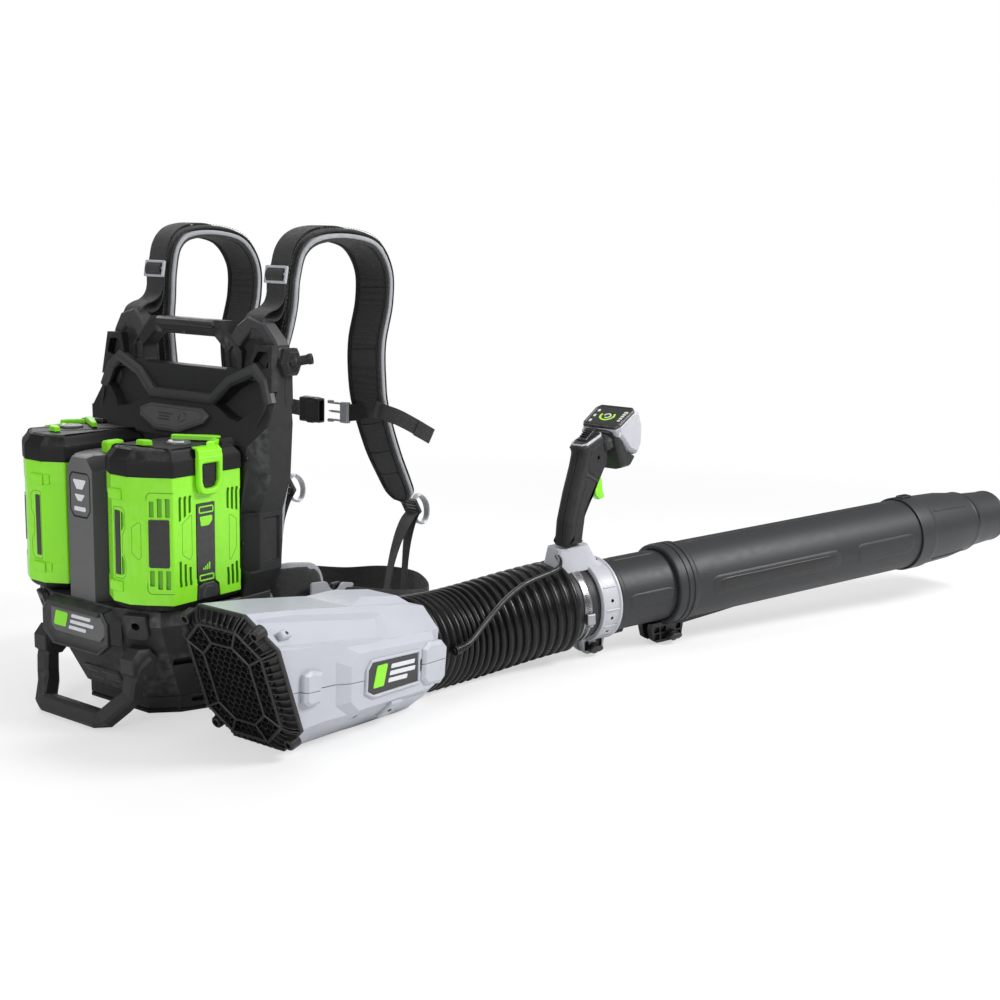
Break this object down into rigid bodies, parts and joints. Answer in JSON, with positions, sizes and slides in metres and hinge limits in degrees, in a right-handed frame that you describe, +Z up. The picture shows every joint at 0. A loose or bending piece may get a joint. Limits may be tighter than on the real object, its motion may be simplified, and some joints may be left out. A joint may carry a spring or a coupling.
{
  "type": "backpack leaf blower",
  "caption": "Battery backpack leaf blower: padded harness frame with removable side batteries, low fan housing, flexible hose and long tube with pistol control grip.",
  "frame": {"origin": "on the ground under the pack's mid-plane, where the batteries meet the back frame", "axes": "+X the wearer's forward direction, +Y the wearer's left, +Z up"},
  "size_m": [1.6549, 0.9685, 0.6827],
  "materials": {
    "black_plastic": "satin moulded, fine grain",
    "grey_plastic": "satin moulded",
    "light_grey_plastic": "satin moulded",
    "green_plastic": "satin moulded",
    "battery_black": "satin moulded",
    "grip_rubber": "soft matte",
    "tube_plastic": "semi-gloss extruded",
    "hose_rubber": "semi-gloss ribbed",
    "cable_rubber": "braided matte",
    "steel": "plated",
    "motor_metal": "machined",
    "fan_plastic": "glass-filled",
    "contact_brass": "plated",
    "board": "potted board",
    "pad_fabric": "woven with piping",
    "webbing": "ribbed webbing",
    "buckle_grey": "moulded",
    "buckle_black": "moulded",
    "screen": "display window",
    "badge_plastic": "satin"
  },
  "bodies": {
    "pack": {"base_housing": "black_plastic", "base_plate": "black_plastic", "controller_board": "board", "base_badge_plate": "black_plastic", "foot_handle": "black_plastic", "dock_column": "grey_plastic", "dock_terminals": "contact_brass", "back_frame": "black_plastic", "carry_handle": "black_plastic", "frame_cover": "black_plastic", "hook_bracket": "black_plastic", "back_pad": "pad_fabric", "hip_pads": "pad_fabric", "waist_belt": "webbing", "shoulder_pad_right": "pad_fabric", "shoulder_pad_left": "pad_fabric", "strap_webbing": "webbing", "strap_buckles": "buckle_grey", "strap_rings": "buckle_grey", "chest_buckle_female": "buckle_black", "chest_buckle_male": "buckle_black", "fan_housing_upper": "light_grey_plastic", "fan_housing_lower": "light_grey_plastic", "intake_grille": "black_plastic", "case_screws": "steel", "housing_badge": "badge_plastic", "fan_motor": "motor_metal", "fan_bearings": "steel", "stator_vanes": "fan_plastic", "fan_mount_bracket": "black_plastic", "bellows_rear": "hose_rubber", "cable_rear": "cable_rubber"},
    "release": {"release_button": "green_plastic"},
    "battery_r": {"battery_case_right": "green_plastic", "battery_ends_right": "battery_black"},
    "battery_l": {"battery_case_left": "green_plastic", "battery_ends_left": "battery_black"},
    "latch_r": {"latch_right": "green_plastic"},
    "latch_l": {"latch_left": "green_plastic"},
    "fan_rotor": {"impeller": "fan_plastic", "fan_shaft": "steel"},
    "hose_mid": {"bellows_mid": "hose_rubber", "cable_mid": "cable_rubber"},
    "tube_rear": {"bellows_front": "hose_rubber", "hose_clamp": "steel", "rear_tube": "tube_plastic", "cable_front": "cable_rubber"},
    "handle": {"handle_clamp_upper": "light_grey_plastic", "handle_clamp_lower": "light_grey_plastic", "grip_left": "grip_rubber", "grip_right": "grip_rubber", "display_head": "light_grey_plastic", "display_screen": "screen"},
    "trigger_arm": {"trigger": "green_plastic"},
    "lever_arm": {"cruise_lever": "black_plastic"},
    "boost": {"boost_button": "black_plastic"},
    "knob_handle": {"handle_knob": "black_plastic"},
    "tube_front": {"front_tube": "tube_plastic"},
    "knob_tube": {"tube_knob": "black_plastic"},
    "nozzle_end": {"nozzle": "tube_plastic"}
  },
  "joints": [
    {"name": "battery_right_lift", "type": "slide", "parent": "pack", "child": "battery_r", "axis": [0, 0, 1], "range_m": [0, 0.24]},
    {"name": "battery_left_lift", "type": "slide", "parent": "pack", "child": "battery_l", "axis": [0, 0, 1], "range_m": [0, 0.24]},
    {"name": "latch_right_release", "type": "hinge", "parent": "battery_r", "child": "latch_r", "pos_m": [-0.064, -0.157, 0.322], "axis": [1, 0, 0], "range_deg": [0, 16]},
    {"name": "latch_left_release", "type": "hinge", "parent": "battery_l", "child": "latch_l", "pos_m": [-0.064, 0.157, 0.322], "axis": [-1, 0, 0], "range_deg": [0, 16]},
    {"name": "release_press", "type": "slide", "parent": "pack", "child": "release", "axis": [0, 0, -1], "range_m": [0, 0.006]},
    {"name": "fan_spin", "type": "hinge", "parent": "pack", "child": "fan_rotor", "pos_m": [-0.05625, -0.27, 0.09406], "axis": [0.9959, 0, -0.0906], "continuous": true},
    {"name": "hose_yaw", "type": "hinge", "parent": "pack", "child": "hose_mid", "pos_m": [0.328, -0.27766, 0.06423], "axis": [0, 0, 1], "range_deg": [-12, 20], "deforming": ["bellows_rear", "cable_rear"]},
    {"name": "hose_pitch", "type": "hinge", "parent": "hose_mid", "child": "tube_rear", "pos_m": [0.41411, -0.30694, 0.07456], "axis": [-0.3822, -0.9241, 0], "range_deg": [-8, 20], "deforming": ["bellows_front", "cable_mid"]},
    {"name": "handle_roll", "type": "hinge", "parent": "tube_rear", "child": "handle", "pos_m": [0.56428, -0.37165, 0.09044], "axis": [0.9224, -0.3815, 0.0603], "range_deg": [-15, 15], "deforming": ["cable_front"]},
    {"name": "trigger_squeeze", "type": "hinge", "parent": "handle", "child": "trigger_arm", "pos_m": [0.596, -0.357, 0.286], "axis": [0, 1, 0], "range_deg": [0, 12]},
    {"name": "cruise_tilt", "type": "hinge", "parent": "handle", "child": "lever_arm", "pos_m": [0.567, -0.357, 0.349], "axis": [0, 1, 0], "range_deg": [-7, 7]},
    {"name": "boost_press", "type": "slide", "parent": "handle", "child": "boost", "axis": [-1, 0, 0], "range_m": [0, 0.0015]},
    {"name": "handle_knob_turn", "type": "hinge", "parent": "handle", "child": "knob_handle", "pos_m": [0.55724, -0.38529, 0.01222], "axis": [-0.3822, -0.9241, 0], "continuous": true},
    {"name": "tube_telescope", "type": "slide", "parent": "tube_rear", "child": "tube_front", "axis": [0.9224, -0.3815, 0.0603], "range_m": [-0.04, 0.06]},
    {"name": "tube_knob_turn", "type": "hinge", "parent": "tube_front", "child": "knob_tube", "pos_m": [0.70466, -0.4506, 0.01394], "axis": [-0.3822, -0.9241, 0], "continuous": true},
    {"name": "nozzle_pull", "type": "slide", "parent": "tube_front", "child": "nozzle_end", "axis": [0.9224, -0.3815, 0.0603], "range_m": [0, 0.1]}
  ]
}
